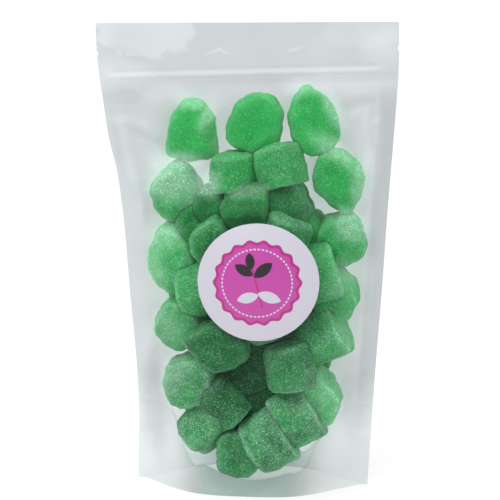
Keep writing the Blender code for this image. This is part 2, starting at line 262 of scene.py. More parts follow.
# Milky patches on the front film, mirrored on the back, partly haze where the film stands off a
# jelly and partly painted glare: x, z, half width, half height (mm), turn (degrees), strength and
# how soft the rim is.
MILK_AND_GLARE_PATCHES = (
    (-26, 199, 8, 4, -10, 0.5, 0.8),
    (-19, 192, 3, 8, -20, 0.5, 0.8),
    (-34, 168, 11, 4.5, -4, 0.75, 0.9),
    (-38, 160, 13, 10, -20, 0.72, 0.7),
    (-18, 158, 7, 6, -25, 0.65, 0.7),
    (3, 154, 9, 3, 5, 0.35, 0.7),
    (28, 205, 7, 4, 0, 0.5, 0.7),
    (44, 195, 4, 10, 30, 0.5, 0.8),
    (59, 160, 5, 15, 0, 0.5, 0.8),
    (44, 174, 11, 4, -35, 0.55, 0.8),
    (-42, 131, 10, 8, -15, 0.45, 0.7),
    (-46, 112, 6, 13, 0, 0.4, 0.7),
    (54, 136, 8, 7, -30, 0.6, 0.7),
    (-36, 61, 11, 6, 55, 0.35, 0.9),
    (-37, 86, 7, 9, 0, 0.35, 0.8),
    (50, 82, 6, 12, 20, 0.15, 0.8),
    (37, 50, 9, 12, 20, 0.2, 0.9),
    (51, 111, 6, 10, 0, 0.3, 0.8),
)
# Painted light and painted shade in free film: lighter fields are painted reflections and lit
# creases, darker ones painted shade; alike on both films and listed the same way, and here the
# strength is what a field adds to the painted shade of the film.
FILM_LIGHT_AND_SHADE = (
    (-52, 236, 25, 16, -10, -0.06, 0.10),
    (60, 232, 22, 8, 4, -0.02, 0.2),
    (-16, 223, 5, 0.8, 20, -0.04, 0.4),
    (-60, 223, 10, 3, -25, 0.025, 0.5),
    (-63, 180, 2, 12, 8, -0.015, 0.6),
    (-57, 152, 2, 12, 6, -0.02, 0.6),
    (-67, 178, 1.5, 13, 8, 0.02, 0.6),
    (-55, 120, 2, 15, 3, -0.02, 0.6),
    (66, 172, 2, 20, -4, -0.03, 0.6),
    (62, 105, 2, 18, -3, -0.02, 0.6),
    (-50, 84, 1.5, 12, -20, -0.02, 0.6),
    (-11, 223, 4, 0.7, -25, -0.04, 0.4),
    (25, 223.5, 4, 1.0, 10, -0.04, 0.5),
    (-63, 201, 11, 4, 0, 0.02, 0.2),
    (-43, 203, 10, 4, 10, -0.03, 0.4),
    (-64, 190, 7, 2.5, 5, -0.025, 0.5),
    (-53, 187.5, 4, 1.6, -40, -0.025, 0.6),
    (-45, 168, 8, 5, -25, -0.04, 0.4),
    (-60, 165, 2.5, 7, 10, -0.03, 0.6),
    (-54, 182.5, 10, 2, -25, 0.035, 0.5),
    (-52.5, 141, 1.0, 8, 3, 0.04, 0.5),
    (56, 197, 10, 3, 10, 0.025, 0.4),
    (56.5, 193, 6, 2.5, 30, -0.03, 0.6),
    (60, 188.5, 1.8, 6, -8, -0.03, 0.6),
    (65, 188, 3, 1.2, 40, -0.03, 0.6),
    (61, 171, 2, 9, -4, -0.03, 0.6),
    (5, 48, 10, 14, -20, -0.12, 0.7),
    (-50, 41, 7, 24, 0, 0.11, 0.6),
    (55, 45, 7, 18, 0, 0.08, 0.7),
    (68, 225, 10, 9, 0, -0.05, 0.7),
    (-64, 214, 13, 7, 0, -0.05, 0.7),
    (54, 207, 26, 5, 0, -0.05, 0.7),
)
PATCH_WAVES = 7 * MM        # size of the waves in the rim of a patch or field
PATCH_SEED = 21
MILKY_ROUGH = 0.3           # how uneven these rims are
LIGHT_AND_SHADE_ROUGH = 0.2
SEAM_TOP = 41.0 * MM        # where the gusset's seam ends in the side seals
SEAM_SAMPLES = 300
GLOW_STEPS = 50             # how far the painted green glow beside the jellies spreads
GLOW_END = (207 * MM, 190 * MM)         # the heights between which it fades
# Painted shade that parts of the film add, darkening it, or painted light where the value is below
# 0, each with the heights or the distances from an edge between which it grows from nothing to its
# full.
BODY = (30 * MM, 70 * MM)
BODY_END = (212 * MM, 190 * MM)
LEFT_SHADE = 0.02
LEFT_REACH = (22 * MM, 0)
RIGHT_SHADE = 0.01
RIGHT_REACH = (30 * MM, 10 * MM)
BAND_SHADE = 0.06
BAND_REACH = (9.5 * MM, 7 * MM)
SEAL_SHADE = -0.03
SEAL_REACH = (13 * MM, 3 * MM)
FOOT_SHADE = {-1: -0.04, 1: -0.15}      # of the front film and the back film
FOOT_REACH = (60 * MM, 26 * MM)
SEAM_SHADE = -0.04
SEAM_REACH = (-1 * MM, 2 * MM)
SEAM_FOOT = (60 * MM, 30 * MM)
ZIP_SHADE = 0.03
ZIP_SHADE_REACH = (-45 * MM, -15 * MM)
ZIP_SHADE_BELOW = 3.9 * MM              # how far its middle lies below the zip
ZIP_SHADE_HALF = 2.4 * MM
SKIRT_SHADE = 29.0 * MM     # half width of the shade under the jellies
SEEN_GAP = 20 * MM          # the widest gap between film and jelly that is measured
LOOSE_GAP = (0.5 * MM, 3 * MM)          # the gaps at which film starts to wave, and waves in full
CREASE_TURN = 35.0          # degrees that the waves lean over
CREASE_DRAWN = (1.0, 1.0, 0.35)         # how closely they lie in each direction
RIPPLE_SIZE = 14 * MM
CREASE_SIZE = 20 * MM
CREASE_LEVEL = 0.6
SWAY = 1.6                  # how far the header leans in and out (mm)
SWAY_SIZE = 45 * MM
SWAY_SPAN = (217 * MM, 236 * MM)
GUSSET_DROP = 3.0 * MM
GUSSET_STEPS = 48
GUSSET_RELAX = 600
GUSSET_LOW = 3.0 * MM
GUSSET_LOOKS = {"gap": 3.0, "milk": 0.0, "shade": -0.17, "skirt": 0.0, "seam": -5.0, "glow": 0.0,
                "up": -200.0}
FAR_OFF = 1.0               # further away than anything in the pouch
LOOK_FROM = 80 * MM         # where a look into the pouch starts, in front of its film
# The share of the light that the film itself gives, where it is clear, milky (haze and painted
# glare), beside the jellies (a painted green glow) and under them (painted green shade), and what
# its welded lines add: a dark double line along the seam, and along the zip a painted highlight
# with painted shade at its rims.
CLEAR_SHARE = 0.205
MILK_SHARE = 0.45
GLOW_SHARE = 0.11
SKIRT_SHARE = 0.62
CLOUDINESS = 0.06
SEAM_LINE = 0.08
ZIP_HIGHLIGHT = 0.055
ZIP_RIM_SHADE = 0.02
SEAM_LINE_OFF = 0.55        # how far these lines lie off the seam and the zip's middle (mm)
ZIP_RIM_OFF = 2.2
CLEAR_FILM = (0.965, 0.99, 1.0)         # what it lets through of each colour
TOUCHING_FILM = (0.66, 1.0, 0.80)       # colour of the milky haze and painted glare where the film touches a jelly
ZIP_SHARE = 0.10            # the same share for the plastic of the zip

# ---- the label's print (mm and degrees) --------------------------------------------------
ROSETTE_RADIUS = 21.2
ROSETTE_SCALLOPS = 18
ROSETTE_WAVE = 0.7
FIELD_RADIUS = 19.6
DOTS_RADIUS = 17.2
DOTS = 54
PRINT_EDGE = 0.25           # how wide the soft edge of a printed field is
STEM_LEAN = 0.25
STEM_HALF = 11.2
# Its leaves: where each is rooted, the way it points, its length and width and its colour.
LEAVES = (
    ((-1.7, 4), 150, 10.5, 5.2, "ink"),
    ((-1.2, 3), 40, 11.5, 5.6, "ink"),
    ((-2.6, 7), 98, 8.5, 4.6, "ink"),
    ((0.9, -6), 195, 11, 5.4, "paper"),
    ((0.5, -5), -20, 12, 5.6, "paper"),
)

# ---- the stage ---------------------------------------------------------------------------
FLOOR_SIZE = 6.0
FLOOR_WHITE = 0.80
FLOOR_GLOW = 0.42           # the share of it that the floor gives off as a light table
SUN_STRENGTH = 1.4
SUN_SOFTNESS = 70.0         # degrees
SUN_TILT = (25.0, -15.0)    # degrees
SKY_TOP = 0.85
SKY_LEVEL = 0.46
BACKDROP = 0.75             # how much brighter the wall behind the pouch is
BACKDROP_EDGE = (-0.1, 0.8)
SKY_RINGS = 48              # places at which the sky's light is summed up
SKY_SPOKES = 96
# Soft lamps: name, place, aim, size and power.
LAMPS = (
    ("key", (-0.55, -0.75, 0.95), (0, 0, 0.15), (0.7, 0.7), 4),
    ("strip", (0.80, -0.55, 0.45), (0, 0, 0.12), (0.15, 0.8), 1.5),
)
CAMERA_AZIMUTH = 8.0
CAMERA_ELEVATION = 8.0
CAMERA_ROLL = -0.73
CAMERA_DISTANCE = 0.600
CAMERA_AIM = (1.2 * MM, 0.0, 122.5 * MM)
CAMERA_LENS = 84.31         # mm
CAMERA_SENSOR = 36.0        # mm
CAMERA_NEAR = 0.01


def along(stations, at):
    """A smooth value in metres through (place, value) stations given in millimetres."""
    place = [station[0] * MM for station in stations]
    value = [station[1] * MM for station in stations]
    slope = np.gradient(value, place)
    at = np.clip(at, place[0], place[-1])
    i = np.clip(np.searchsorted(place, at, side="right") - 1, 0, len(place) - 2)
    span = np.take(place, i + 1) - np.take(place, i)
    t = (at - np.take(place, i)) / span
    low = (2 * t**3 - 3 * t**2 + 1) * np.take(value, i)
    low = low + (t**3 - 2 * t**2 + t) * span * np.take(slope, i)
    high = (3 * t**2 - 2 * t**3) * np.take(value, i + 1)
    high = high + (t**3 - t**2) * span * np.take(slope, i + 1)
    return low + high


def top_edge(x):
    return TOP_LEFT + (x / BAG_WIDTH + 0.5) * (TOP_RIGHT - TOP_LEFT)


def fill_depth(x, z):
    """How far the filling pushes a film out from the plane of the side seals."""
    across = np.clip(abs(x - FILL_CENTRE) / FILL_HALF_WIDTH, 0, 1)
    return along(FILL_DEPTH, z) * (1 - across**FILL_ROUNDNESS)


def base_depth(x):
    across = np.clip(abs(x) / BASE_HALF_WIDTH, 0, 1)
    return SEAL_THICK / 2 + BASE_DEPTH * (1 - across**BASE_FIN_POWER)**BASE_LENS_POWER


def label_depth(x, z):
    across = x - LABEL_CENTRE_X
    up = z - LABEL_CENTRE_Z
    bend = LABEL_OUT - across**2 / (2 * LABEL_BEND_ACROSS) - up**2 / (2 * LABEL_BEND_UP)
    return bend - LABEL_LEAN * up


def under_label(x, z):
    across = (x - LABEL_CENTRE_X) / (LABEL_WIDE / 2 + LABEL_RIM)
    up = (z - LABEL_CENTRE_Z) / (LABEL_TALL / 2 + LABEL_RIM)
    return across**2 + up**2 < 1


def zip_height(x):
    part = (x - ZIP_SPAN[0]) / (ZIP_SPAN[1] - ZIP_SPAN[0])
    return ZIP_HEIGHT_LEFT + part * (ZIP_HEIGHT_RIGHT - ZIP_HEIGHT_LEFT)


def soft_step(low, high, value):
    """A smooth rise from 0 at low to 1 at high; low may be the larger."""
    t = np.clip((value - low) / (high - low), 0, 1)
    return t * t * (3 - 2 * t)


def turned(x, z, angle):
    """How far a place lies along a direction, given in degrees, and across it."""
    c = math.cos(math.radians(angle))
    s = math.sin(math.radians(angle))
    return x * c + z * s, z * c - x * s


def around(grid):
    """The mean of the four neighbours of each inner point of a grid."""
    return (grid[:-2, 1:-1] + grid[2:, 1:-1] + grid[1:-1, :-2] + grid[1:-1, 2:]) / 4


def noise_at(points, size, seed, detail=2):
    """Smooth noise from about -1 to 1, with waves of the given size, at an array of points."""
    shift = Vector([seed * step for step in SEED_STEP])
    flat = points.reshape(-1, 3)
    found = [noise.fractal(Vector(p) / size + shift, 1.0, 2.0, detail) for p in flat]
    return np.array(found).reshape(points.shape[:-1])


# ---- settings ----------------------------------------------------------------------------
def measure(name, description, default):
    return FloatProperty(name=name, description=description, default=default, unit="LENGTH")


def colour(name, description, *default):
    return FloatVectorProperty(
        name=name, description=description, default=default, subtype="COLOR", size=3)


class JellySizes(bpy.types.PropertyGroup):
    width: measure("Width", "Across one leaf jelly", 0.027)
    length: measure("Length", "From foot to tip of one leaf jelly", 0.030)
    height: measure("Height", "Thickness of one leaf jelly", 0.020)
    lump: measure("Lumps", "How uneven a jelly's sides are", 0.0026)
    crust: measure("Sugar crust", "Relief of the sugar on a jelly", 0.0010)
    grain: measure("Sugar grain", "Size of one grain of sugar", 0.00072)
    mesh: measure("Mesh size", "Spacing of a jelly's mesh", 0.00095)


class FilmSizes(bpy.types.PropertyGroup):
    ripple: measure("Ripple", "Height of the soft waves in free film", 0.0007)
    crease: measure("Crease", "Height of the sharp creases in free film", 0.0006)
    seed: IntProperty(name="Seed", description="Picks another set of creases", default=3, min=0)


class PouchColours(bpy.types.PropertyGroup):
    # A lit and a shaded green of the same jelly, blended by each jelly's painted light and shade.
    jelly: colour("Jelly", "Jelly in good light", 0.028, 0.60, 0.118)
    jelly_deep: colour("Deep jelly", "Thick or shaded jelly", 0.003, 0.068, 0.016)
    sugar: colour("Sugar dust", "Fine sugar that veils the jelly", 0.60, 0.87, 0.72)
    grain: colour(
        "Sugar grain", "A grain of sugar that takes on the green below it", 0.55, 1.0, 0.64)
    film: colour(
        "Film haze", "The grey that the film lays over what is behind it", 0.84, 0.95, 0.97)
    film_dark: colour(
        "Clear film", "What free film takes from the light behind it", 0.010, 0.015, 0.018)
    # Painted green light that the jellies throw on the film beside them.
    glow: colour("Glow", "Green that free film picks up beside the jellies", 0.15, 0.45, 0.22)
    skirt: colour("Skirt", "Film under the jellies, in their green shade", 0.22, 0.31, 0.28)
    zip: colour("Zip", "Milky plastic of the zip", 0.95, 0.96, 0.97)
    paper: colour("Paper", "White of the label", 0.505, 0.490, 0.560)
    pink: colour("Pink", "Field of the label", 0.43, 0.046, 0.295)
    magenta: colour("Magenta", "Outline on the label", 0.37, 0.012, 0.174)
    ink: colour("Ink", "Dark leaves on the label", 0.012, 0.008, 0.014)


# ---- shader maths ------------------------------------------------------------------------
def both_ways(operation):
    """An operator that adds a Math node, and its reflected form."""
    def plain(self, other):
        return self.maths(operation, self, other)

    def reflected(self, other):
        return self.maths(operation, other, self)

    return plain, reflected


class Socket:
    """A value in a tree of nodes that takes part in plain arithmetic."""

    __add__, __radd__ = both_ways("ADD")
    __sub__, __rsub__ = both_ways("SUBTRACT")
    __mul__, __rmul__ = both_ways("MULTIPLY")
    __truediv__, __rtruediv__ = both_ways("DIVIDE")
    __pow__, __rpow__ = both_ways("POWER")

    def __init__(self, nodes, link):
        self.nodes = nodes
        self.link = link

    def maths(self, operation, *values):
        return self.nodes.node("ShaderNodeMath", {"operation": operation}, values)

    def __abs__(self):
        return self.maths("ABSOLUTE", self)

    def ramp(self, low, high, start=0.0, end=1.0):
        """A smooth rise from start to end while this value goes from low to high."""
        settings = {"interpolation_type": "SMOOTHSTEP"}
        return self.nodes.node("ShaderNodeMapRange", settings, (self, low, high, start, end))

    def most(self, other):
        return self.maths("MAXIMUM", self, other)

    def least(self, other):
        return self.maths("MINIMUM", self, other)


class Nodes:
    """A tree of nodes that is written as expressions."""

    def __init__(self, tree):
        self.tree = tree

    def put(self, socket, value):
        """Links a socket into an input, or gives the input a number, vector or colour."""
        if isinstance(value, Socket):
            self.tree.links.new(value.link, socket)
            return
        if hasattr(value, "__len__"):
            value = tuple(value)
            if len(value) == 3 and len(socket.default_value) == 4:
                value = (*value, 1.0)
        socket.default_value = value

    def node(self, kind, settings=None, values=(), output=0):
        """Adds a node, sets it up, fills its inputs by order or by name, and gives one output."""
        made = self.tree.nodes.new(kind)
        for key, value in (settings or {}).items():
            setattr(made, key, value)
        pairs = values.items() if isinstance(values, dict) else enumerate(values)
        for key, value in pairs:
            self.put(made.inputs[key], value)
        return Socket(self, made.outputs[output])

    def axes(self, vector):
        first = self.node("ShaderNodeSeparateXYZ", None, (vector,))
        return [Socket(self, out) for out in first.link.node.outputs]


class Finish(Nodes):
    """One procedural material round a Principled shader."""

    def __init__(self, name):
        self.material = bpy.data.materials.new(name)
        self.material.use_nodes = True
        super().__init__(self.material.node_tree)
        self.shader = self.tree.nodes["Principled BSDF"]
        self.output = self.tree.nodes["Material Output"]

    def set(self, **values):
        for key, value in values.items():
            self.put(self.shader.inputs[key.replace("_", " ").title().replace("Ior", "IOR")], value)

    def here(self):
        """Where a point is on the object, in metres."""
        return self.node("ShaderNodeTexCoord", output="Object")

    def place(self):
        """The x, y and z of a point on the object, in millimetres."""
        scaled = {"Vector": self.here(), "Scale": 1 / MM}
        return self.axes(self.node("ShaderNodeVectorMath", {"operation": "SCALE"}, scaled))

    def noise(self, size, detail=2.0, roughness=0.5):
        values = {"Vector": self.here(), "Scale": 1 / size, "Detail": detail, "Roughness": roughness}
        return self.node("ShaderNodeTexNoise", None, values, output="Fac")

    def cells(self, size, output="Distance"):
        values = {"Vector": self.here(), "Scale": 1 / size}
        return self.node("ShaderNodeTexVoronoi", None, values, output=output)

    def grains(self, size, coat, rare):
        """Round grains of their own brightness, more of them where the coat is thick."""
        luck = self.axes(self.cells(size, output="Color"))[0]
        return (luck + coat * 0.25).ramp(rare, rare + 0.45) * self.cells(size).ramp(0.62, 0.20)

    def attribute(self, name):
        return self.node("ShaderNodeAttribute", {"attribute_name": name}, output="Fac")

    def blend(self, share, first, second):
        """A colour between two others."""
        values = {0: share, 6: first, 7: second}
        return self.node("ShaderNodeMix", {"data_type": "RGBA"}, values, output=2)

    def bump(self, height, strength, distance):
        values = {"Height": height, "Strength": strength, "Distance": distance}
        self.put(self.shader.inputs["Normal"], self.node("ShaderNodeBump", None, values))

    def veil(self, share, through=(1.0, 1.0, 1.0)):
        """Lets light straight through except for this share, which the shader gives."""
        clear = self.node("ShaderNodeBsdfTransparent", None, (through,))
        shown = Socket(self, self.shader.outputs[0])
        mixed = self.node("ShaderNodeMixShader", None, (share, clear, shown))
        self.put(self.output.inputs["Surface"], mixed)


def jelly_finish(colours, sizes):
    """Green jelly under a thin, patchy coat of sugar grains, with painted light and shade."""
    finish = Finish("sugared_jelly")
    tone = finish.attribute("tone")
    frost = finish.attribute("frost")
    edge = finish.attribute("edge")
    cloudy = finish.noise(CLOUD_SIZE, 3)
    # thick: each jelly's painted light and shade, with random cloudiness; it blends the deep, shaded
    # green into the lit green.
    thick = (tone + (cloudy - 0.5) * 0.6).most(0).least(1)
    green = finish.blend(thick, colours.jelly_deep, colours.jelly)
    coat = finish.noise(COAT_SIZE, 4, 0.6).ramp(0.30, 0.70, 0.25, 1.0)
    small = finish.grains(sizes.grain * SMALL_GRAIN, coat, 0.45)
    grains = finish.grains(sizes.grain, coat, 0.70).most(small * 0.45)
    # The grains are partly painted glints, and show brighter on jellies painted lighter.
    grains = grains * (frost * 0.9 + thick * 0.2 + 0.2).least(1.1)
    dust = finish.noise(DUST_SIZE, 4, 0.7).ramp(0.35, 0.75, 0.3, 1.7)
    # Veil of fine sugar, and on rounded edges a pale rim that is partly sugar and partly painted
    # highlight, stronger on jellies painted lighter.
    veil = frost * frost * DUST_VEIL * coat * dust + edge * (frost * 0.25 + thick * 0.12) * dust
    veiled = finish.blend(veil.least(0.8), green, colours.sugar)
    sugared = finish.blend(grains * GRAIN_VEIL, veiled, colours.grain)
    finish.set(base_color=sugared, roughness=0.55 - grains * 0.25)
    finish.set(sheen_weight=0.45, sheen_roughness=0.35, sheen_tint=JELLY_SHEEN)
    finish.set(subsurface_weight=0.80, subsurface_radius=JELLY_SCATTER)
    finish.set(subsurface_scale=JELLY_SCATTER_SIZE)
    finish.set(ior=1.45, specular_ior_level=0.18)
    finish.bump(grains * 0.8 + finish.noise(1.0 * MM, 3) * 0.5, 0.45, 0.4 * MM)
    return finish.material


def film_finish(colours):
    """Clear film: crisp where it touches, a little grey where it hangs free, milky in patches that
    are partly haze and partly painted glare; with painted light and shade, a painted green glow
    beside the jellies and a painted highlight along the zip.

    Its gap to the jellies and its height over the seam and the zip are in millimetres.
    """
    finish = Finish("hazy_film")
    gap, skirt, milky, seam, up, shade, glow = [
        finish.attribute(name) for name in ("gap", "skirt", "milk", "seam", "up", "shade", "glow")]
    off = gap.ramp(0.6, 5.0)
    fine = finish.noise(2.5 * MM, 4, 0.7).ramp(0.3, 0.7)
    cloud = finish.noise(24 * MM, 3, 0.5) - 0.5
    dusty = finish.grains(0.8 * MM, fine, 0.45) * gap.ramp(2.5, 0.8) * 0.9
    # Milky haze and painted glare where the film stands off a jelly.
    milk = milky * (0.50 + fine * 0.25 + dusty) * gap.ramp(9, 3, 0.6, 1.0)
    skirt = skirt * seam.ramp(0.3, -0.3)
    seam_line = abs(abs(seam) - SEAM_LINE_OFF).ramp(0.45, 0.10) * SEAM_LINE
    # Along the zip, a painted highlight with painted shade along its rims.
    zip_rim_shade = abs(abs(up) - ZIP_RIM_OFF).ramp(0.9, 0.2) * ZIP_RIM_SHADE
    zip_light_and_shade = abs(up).ramp(1.4, 0.5) * ZIP_HIGHLIGHT - zip_rim_shade
    zip_ends = abs(finish.place()[0] + 1).ramp(73, 62)
    lines = seam_line - zip_light_and_shade * zip_ends
    clear = (CLEAR_SHARE + cloud * off * CLOUDINESS + (shade + lines)) * (1 - milk * 0.5)
    white = milk * MILK_SHARE
    # Painted green glow beside the jellies.
    near = glow * GLOW_SHARE
    tint = finish.blend(near / (clear + near), colours.film_dark, colours.glow)
    haze = finish.blend(gap.ramp(1.5, 5.0), TOUCHING_FILM, colours.film)
    tint = finish.blend(white / (clear + white), tint, haze)
    tint = finish.blend(skirt, tint, colours.skirt)
    finish.set(base_color=tint, roughness=0.24 + off * 0.12, ior=1.5, specular_ior_level=0.22)
    finish.veil(clear + white + near + skirt * SKIRT_SHARE, CLEAR_FILM)
    return finish.material


def zip_finish(colours):
    """Thin, faintly milky plastic that is pressed together between the films."""
    finish = Finish("zip_plastic")
    finish.set(base_color=colours.zip, roughness=0.7, ior=1.4, specular_ior_level=0.2)
    finish.veil(ZIP_SHARE)
    return finish.material


def leaf_mask(x, z, root, angle, length, width):
    """1 inside a pointed leaf that grows from a root in the given direction (mm, degrees)."""
    u, v = turned(x - root[0], z - root[1], angle)
    half = length / 2
    bulge = (half**2 - (width / 2)**2) / width
    radius = half**2 / width + width / 4
    reach = ((u - half)**2 + (abs(v) + bulge)**2)**0.5
    return reach.ramp(radius - 0.12, radius + 0.12, 1.0, 0.0)


def label_finish(colours):
    """A pink scalloped rosette with a sprig of leaves, printed on white paper."""
    finish = Finish("label_paper")
    x, _, z = finish.place()
    x = x - LABEL_CENTRE_X / MM
    z = (z - LABEL_CENTRE_Z / MM) * (LABEL_WIDE / LABEL_TALL)
    radius = (x * x + z * z)**0.5
    angle = z.maths("ARCTAN2", z, x)
    rim = radius - angle.maths("COSINE", angle * ROSETTE_SCALLOPS) * ROSETTE_WAVE
    fibre = finish.noise(0.4 * MM, 3).ramp(0.2, 0.8)
    printed = finish.blend(fibre, colours.paper, [c * 0.97 for c in colours.paper])
    for size, ink in ((ROSETTE_RADIUS, colours.magenta), (FIELD_RADIUS, colours.pink)):
        printed = finish.blend(rim.ramp(size, size + PRINT_EDGE, 1, 0), printed, ink)
    dots = angle.maths("COSINE", angle * DOTS).ramp(-0.5, -0.2)
    ring = abs(radius - DOTS_RADIUS).ramp(0.30, 0.46, 1, 0) * dots
    printed = finish.blend(ring, printed, colours.paper)
    stem = abs(x + (z + 1) * STEM_LEAN).ramp(0.35, 0.5, 1, 0)
    stem = stem * abs(z + 1).ramp(STEM_HALF, STEM_HALF + 0.3, 1, 0)
    printed = finish.blend(stem, printed, colours.magenta)
    for root, turn, length, width, ink in LEAVES:
        leaf = leaf_mask(x, z, root, turn, length, width)
        printed = finish.blend(leaf, printed, getattr(colours, ink))
    finish.set(base_color=printed, roughness=0.34, coat_weight=0.15, coat_roughness=0.25)
    finish.bump(finish.noise(6 * MM, 2), 0.08, 0.3 * MM)
    return finish.material


# ---- modelling ---------------------------------------------------------------------------
def start_piece(name):
    """Names the primitive that was just added and opens it for shaping."""
    made = bpy.context.object
    made.name = made.data.name = name
    bpy.ops.object.mode_set(mode="EDIT")
    return made


def pick(made, wanted):
    """Selects the points of the piece in edit mode whose place passes the test."""
    mesh = bmesh.from_edit_mesh(made.data)
    bpy.ops.mesh.select_all(action="DESELECT")
    for point in mesh.verts:
        point.select_set(wanted(point.co))
    mesh.select_flush_mode()
    bmesh.update_edit_mesh(made.data)


def select_only(pieces):
    bpy.ops.object.select_all(action="DESELECT")
    for piece in pieces:
        piece.select_set(True)
    bpy.context.view_layer.objects.active = pieces[0]


def finish_modifiers(made):
    select_only([made])
    for modifier in list(made.modifiers):
        bpy.ops.object.modifier_apply(modifier=modifier.name)


def join_pieces(pieces, name):
    select_only(pieces)
    bpy.ops.object.join()
    joined = bpy.context.object
    joined.name = joined.data.name = name
    return joined


def mesh_points(mesh):
    points = np.empty(len(mesh.vertices) * 3)
    mesh.vertices.foreach_get("co", points)
    return points.reshape(-1, 3)


def set_looks(mesh, looks):
    """Stores each named look, one value or one a point, at the points of a mesh."""
    for name, values in looks.items():
        own = mesh.attributes.new(name, "FLOAT", "POINT")
        own.data.foreach_set("value", np.broadcast_to(values, len(mesh.vertices)))


def paint(piece, material):
    piece.data.materials.clear()
    piece.data.materials.append(material)


def squeeze(value, falloff, size):
    """Scales the picked points from the middle and takes those near them along."""
    bpy.ops.transform.resize(
        value=value, center_override=(0, 0, 0), use_proportional_edit=True,
        proportional_edit_falloff=falloff, proportional_size=size)


def shape_rim(made, index, sizes):
    """Turns an oval into a leaf: a narrower tip and foot, and scallops all round."""
    tip, foot, scallop = MOULDS[index]
    bpy.ops.transform.resize(value=(1, sizes.length / sizes.width, 1), center_override=(0, 0, 0))
    edge = END_POINTS * sizes.length / 2
    for end, narrow, falloff in ((1, tip, "LINEAR"), (-1, foot, "SMOOTH")):
        pick(made, lambda co, end=end: co.y * end > edge)
        squeeze((narrow, 1, 1), falloff, sizes.length * END_SPREAD)
    for lobe in range(LOBES):
        angle = 2 * math.pi * (lobe + 0.5) / LOBES + math.pi / 2 + index * SCALLOP_TURN
        way = Vector((math.cos(angle), math.sin(angle), 0))
        pick(made, lambda co, way=way: co.normalized().dot(way) > math.cos(math.pi / LEAF_POINTS))
        squeeze((1 - scallop, 1 - scallop, 1), "SHARP", sizes.width * SCALLOP_SPREAD)


def model_mould(index, sizes):
    """One leaf jelly, lying on its flat side: scalloped rim, upright walls and a soft crown."""
    bpy.ops.object.select_all(action="DESELECT")
    bpy.ops.mesh.primitive_circle_add(vertices=LEAF_POINTS, radius=sizes.width / 2, fill_type="NGON")
    made = start_piece(f"mould_{index}")
    bpy.ops.mesh.select_all(action="SELECT")
    shape_rim(made, index, sizes)
    bpy.ops.mesh.select_all(action="SELECT")
    height = 0.0
    for rise, widen in LEAF_STEPS:
        move = {"value": (0, 0, rise * sizes.height)}
        bpy.ops.mesh.extrude_region_move(TRANSFORM_OT_translate=move)
        height += rise * sizes.height
        bpy.ops.transform.resize(value=(widen, widen, 1), center_override=(0, 0, height))
    bpy.ops.mesh.select_all(action="SELECT")
    bpy.ops.mesh.bisect(plane_co=(0, 0, 0), plane_no=(1, 0, 0))
    pick(made, lambda co: abs(co.x) < 1e-5 and co.z > height * 0.9)
    bpy.ops.transform.translate(value=(0, 0, -CROWN_DENT * sizes.height))
    bpy.ops.mesh.select_all(action="SELECT")
    bpy.ops.transform.translate(value=(0, 0, -height / 2))
    bpy.ops.mesh.normals_make_consistent(inside=False)
    bpy.ops.object.mode_set(mode="OBJECT")
    soft = made.modifiers.new("soft", "SUBSURF")
    soft.levels = soft.render_levels = 2
    even = made.modifiers.new("even", "REMESH")
    even.mode = "VOXEL"
    even.voxel_size = sizes.mesh
    finish_modifiers(made)
    return made


def edge_share(mesh):
    """How near each point is to a rounded edge between a flat side and the walls."""
    normals = np.empty(len(mesh.vertices) * 3)
    mesh.vertices.foreach_get("normal", normals)
    up = np.clip(abs(normals.reshape(-1, 3)[:, 2]), 0, 1)
    return (2 * up * np.sqrt(1 - up**2))**4


class Jelly:
    """One jelly's place in the pouch before it is made."""

    def __init__(self, x, z, turn, seen, across, up, crown, mould, tone, frost,
                 layer, draw, sizes, moulds):
        self.layer = layer
        self.crown = crown * MM
        self.mould = mould
        self.points = moulds[mould]
        # Painted light and shade of this jelly: lighter where light shines through, darker deep inside.
        self.tone = tone
        self.frost = frost
        deep = {"top": sizes.height, "side": sizes.width, "end": sizes.length}[seen]
        deep *= draw.uniform(*DEPTH_STRAY)
        own = {"top": (across, up, deep / MM), "side": (deep / MM, across, up),
               "end": (across, deep / MM, up)}[seen]
        base = np.ptp(self.points, axis=0)
        self.scale = [o * MM / b for o, b in zip(own, base)]
        self.half = Vector([o * MM / 2 for o in own])
        lean = [math.radians(draw.uniform(-LEAN, LEAN)) for _ in range(2)]
        tilt = Matrix.Rotation(lean[0], 3, "X") @ Matrix.Rotation(lean[1], 3, "Z")
        if layer == "back":
            tilt = Matrix.Rotation(math.pi if draw.random() < 0.5 else 0.0, 3, "Z") @ tilt
        self.turn = tilt @ Matrix.Rotation(-math.radians(turn), 3, "Y") @ SEEN[seen]
        self.centre = Vector((x * MM, 0, z * MM))

    def reach(self, way):
        """Distance from its centre to its side in a direction."""
        local = self.turn.transposed() @ way
        return Vector([a * b for a, b in zip(local, self.half)]).length

    def matrix(self):
        return Matrix.Translation(self.centre) @ (self.turn @ Matrix.Diagonal(self.scale)).to_4x4()

    def press(self, side):
        """Moves it out, or in, until its outermost point lies on the filling's surface."""
        form = np.array(self.turn @ Matrix.Diagonal(self.scale))
        x, y, z = (self.points @ form.T + np.array(self.centre)).T
        limit = fill_depth(x, z) + self.crown
        if side < 0:
            low = np.minimum(limit, label_depth(x, z) - BEHIND_LABEL)
            limit = np.where(under_label(x, z), low, limit)
        self.centre.y -= side * np.max(y * side - limit)


